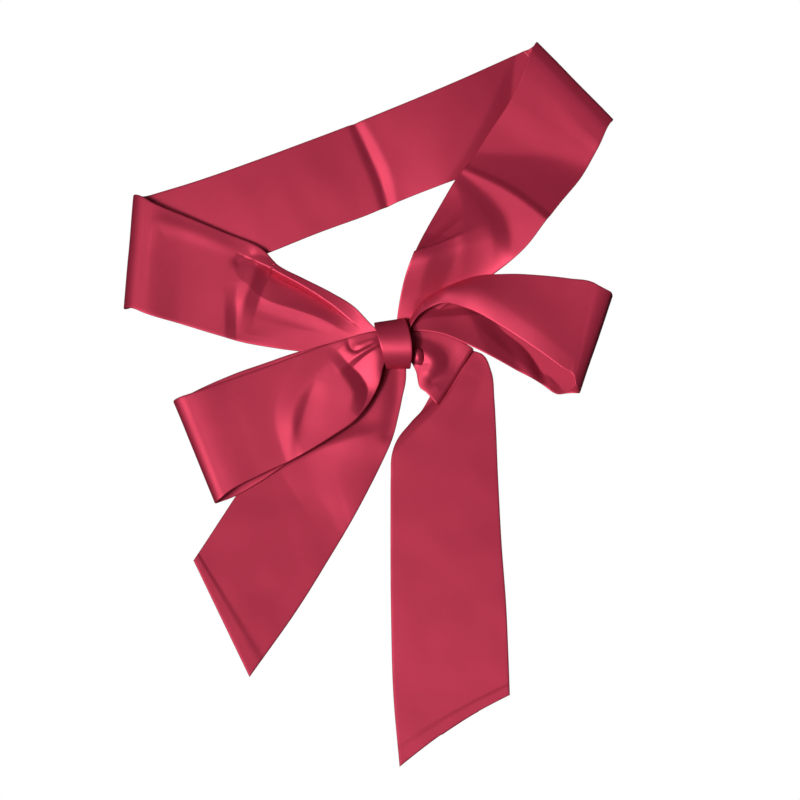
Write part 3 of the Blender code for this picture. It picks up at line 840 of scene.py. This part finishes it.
def white_surface():
    """The white surface under the belt, whose plain glow doesn't light the belt or show in its gloss."""
    mesh = bpy.data.meshes.new(SURFACE)
    reach = SURFACE_REACH
    corners = [(-reach, -reach, 0), (reach, -reach, 0), (reach, reach, 0), (-reach, reach, 0)]
    mesh.from_pydata(corners, [], [(0, 1, 2, 3)])
    made = bpy.data.objects.new(SURFACE, mesh)
    made.location.z = -SURFACE_DROP
    material = bpy.data.materials.new(SURFACE)
    material.use_nodes = True
    shader = material.node_tree.nodes["Principled BSDF"]
    shader.inputs["Base Color"].default_value = BLACK
    shader.inputs["Specular IOR Level"].default_value = 0.0
    shader.inputs["Roughness"].default_value = 1.0
    shader.inputs["Emission Color"].default_value = WHITE
    shader.inputs["Emission Strength"].default_value = 1.0
    mesh.materials.append(material)
    made.visible_diffuse = False
    made.visible_glossy = False
    bpy.context.scene.collection.objects.link(made)


def aim(lamp, place, target, power):
    """A lamp of a power put at a place and turned to a target."""
    lamp.energy = power
    made = bpy.data.objects.new(lamp.name, lamp)
    made.location = place
    away = Vector(target) - Vector(place)
    made.rotation_euler = away.to_track_quat("-Z", "Y").to_euler()
    bpy.context.scene.collection.objects.link(made)


def add_light(name, place, target, size, power):
    """A soft square light."""
    lamp = bpy.data.lights.new(name, "AREA")
    lamp.shape = "SQUARE"
    lamp.size = size
    aim(lamp, place, target, power)


def add_spot(name, place, target, radius, cone, power):
    """A soft round light whose cone fades towards its rim."""
    lamp = bpy.data.lights.new(name, "SPOT")
    lamp.shadow_soft_size = radius
    lamp.spot_size = cone
    lamp.spot_blend = 1.0
    aim(lamp, place, target, power)


def add_lights():
    """The key light, its stronger part, the rim light and the faint surround."""
    add_light("key", KEY_PLACE, MIDDLE, KEY_SIZE, KEY_POWER)
    add_spot("right side", KEY_PLACE, RIGHT_SIDE, RIGHT_RADIUS, RIGHT_CONE, RIGHT_POWER)
    add_light("rim", RIM_PLACE, MIDDLE, RIM_SIZE, RIM_POWER)
    world = bpy.data.worlds.new("surround")
    world.use_nodes = True
    background = world.node_tree.nodes["Background"]
    background.inputs["Color"].default_value = WHITE
    background.inputs["Strength"].default_value = SURROUND_STRENGTH
    bpy.context.scene.world = world


def add_camera():
    """The camera at the photograph's angle."""
    data = bpy.data.cameras.new("camera")
    data.sensor_width = CAMERA_SENSOR
    data.lens = CAMERA_LENS
    data.clip_start, data.clip_end = CAMERA_CLIPS
    made = bpy.data.objects.new("camera", data)
    made.location = (
        -MIDDLE_X * MM,
        (-MIDDLE_Y - CAMERA_DISTANCE * math.sin(CAMERA_LEAN)) * MM,
        CAMERA_DISTANCE * math.cos(CAMERA_LEAN) * MM,
    )
    made.rotation_euler = (CAMERA_LEAN, 0.0, 0.0)
    bpy.context.scene.collection.objects.link(made)
    bpy.context.scene.camera = made


def add_stretch(stretch, material):
    """One stretch of ribbon in place of its plain solid."""
    grid, flat, half = ribbon_grid(stretch)
    piece = shell("cloth_" + stretch.node, grid, flat, half, material)
    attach(piece, "root")
    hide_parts(stretch.node)


# A stretch's sections, its grid's rows along and across, its flat length, how it is held and on what.
# A facing of -1 turns its crowns to the other side. cut_share is how much of the flat stretch shows, where
# the rest is gathered away in the knot.
Stretch = namedtuple(
    "Stretch",
    "node rows along across flat_length held rests_on seed facing folds joined "
    "cut_share cut_width end_bow hem",
    defaults=(1, (), (False, False), 1.0, RIBBON_WIDTH, 0.0, False),
)
STRETCHES = [
    Stretch(
        node="waist_back", rows=WAIST_BACK, along=200, across=60, flat_length=400,
        held="laid", rests_on=SURFACE, seed=1, facing=-1, folds=WAIST_BACK_FOLDS, joined=(True, True),
    ),
    Stretch(
        node="waist_left", rows=folded([WAIST_LEFT_LIP], WAIST_LEFT_FOLD, WAIST_LEFT, tip_share=0.3),
        along=200, across=150, flat_length=225, held="folded", rests_on="cloth_waist_back",
        seed=1, facing=-1, folds=WAIST_LEFT_FOLDS, joined=(True, False),
    ),
    Stretch(
        node="waist_right", rows=folded([WAIST_RIGHT_LIP], WAIST_RIGHT_FOLD, WAIST_RIGHT, tip_share=0.6),
        along=200, across=110, flat_length=275, held="folded", rests_on="cloth_waist_back",
        seed=1, folds=WAIST_RIGHT_FOLDS, joined=(True, False),
    ),
    Stretch(
        node="loop_left", rows=folded(LOOP_LEFT_UPPER, LOOP_LEFT_FOLD, LOOP_LEFT_LOWER, tip_share=0.4),
        along=260, across=100, flat_length=330, held="folded", rests_on="cloth_tail_left",
        seed=4, folds=LOOP_LEFT_FOLDS,
    ),
    Stretch(
        node="loop_right",
        rows=folded(LOOP_RIGHT_UPPER, LOOP_RIGHT_FOLD, LOOP_RIGHT_LOWER, tip_share=0.35),
        along=260, across=100, flat_length=330, held="folded", rests_on="cloth_tail_turn",
        seed=5, facing=-1, folds=LOOP_RIGHT_FOLDS, cut_share=0.7,
    ),
    Stretch(
        node="tail_left", rows=TAIL_LEFT, along=160, across=60, flat_length=240,
        held="laid", rests_on=SURFACE, seed=6, folds=TAIL_LEFT_FOLDS, hem=True,
    ),
    Stretch(
        node="tail_turn", rows=TAIL_TURN, along=80, across=80, flat_length=46,
        held="gathered", rests_on="cloth_tail_right", seed=7, facing=-1, folds=TAIL_TURN_FOLDS,
        cut_share=0.55,
    ),
    Stretch(
        node="tail_right", rows=TAIL_RIGHT, along=200, across=80, flat_length=290,
        held="laid", rests_on=SURFACE, seed=8, facing=-1, folds=TAIL_RIGHT_FOLDS,
        end_bow=TAIL_RIGHT_END_BOW, hem=True,
    ),
    Stretch(
        node="knot_wrap", rows=KNOT_WRAP, along=100, across=40, flat_length=95,
        held="gathered", rests_on="knot_core", seed=9, cut_share=0.31,
    ),
    Stretch(
        node="knot_tuck", rows=KNOT_TUCK, along=24, across=20, flat_length=14,
        held="gathered", rests_on="cloth_tail_turn", seed=10, cut_width=12.0,
    ),
]


def build():
    """Dresses the frame."""
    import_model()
    crimson = satin("crimson_satin")
    for slot in bpy.data.objects["knot_core"].material_slots:
        slot.material = crimson
    for stretch in STRETCHES:
        add_stretch(stretch, crimson)
    white_surface()
    add_camera()
    add_lights()
    bpy.context.scene.view_settings.view_transform = "Standard"


build()
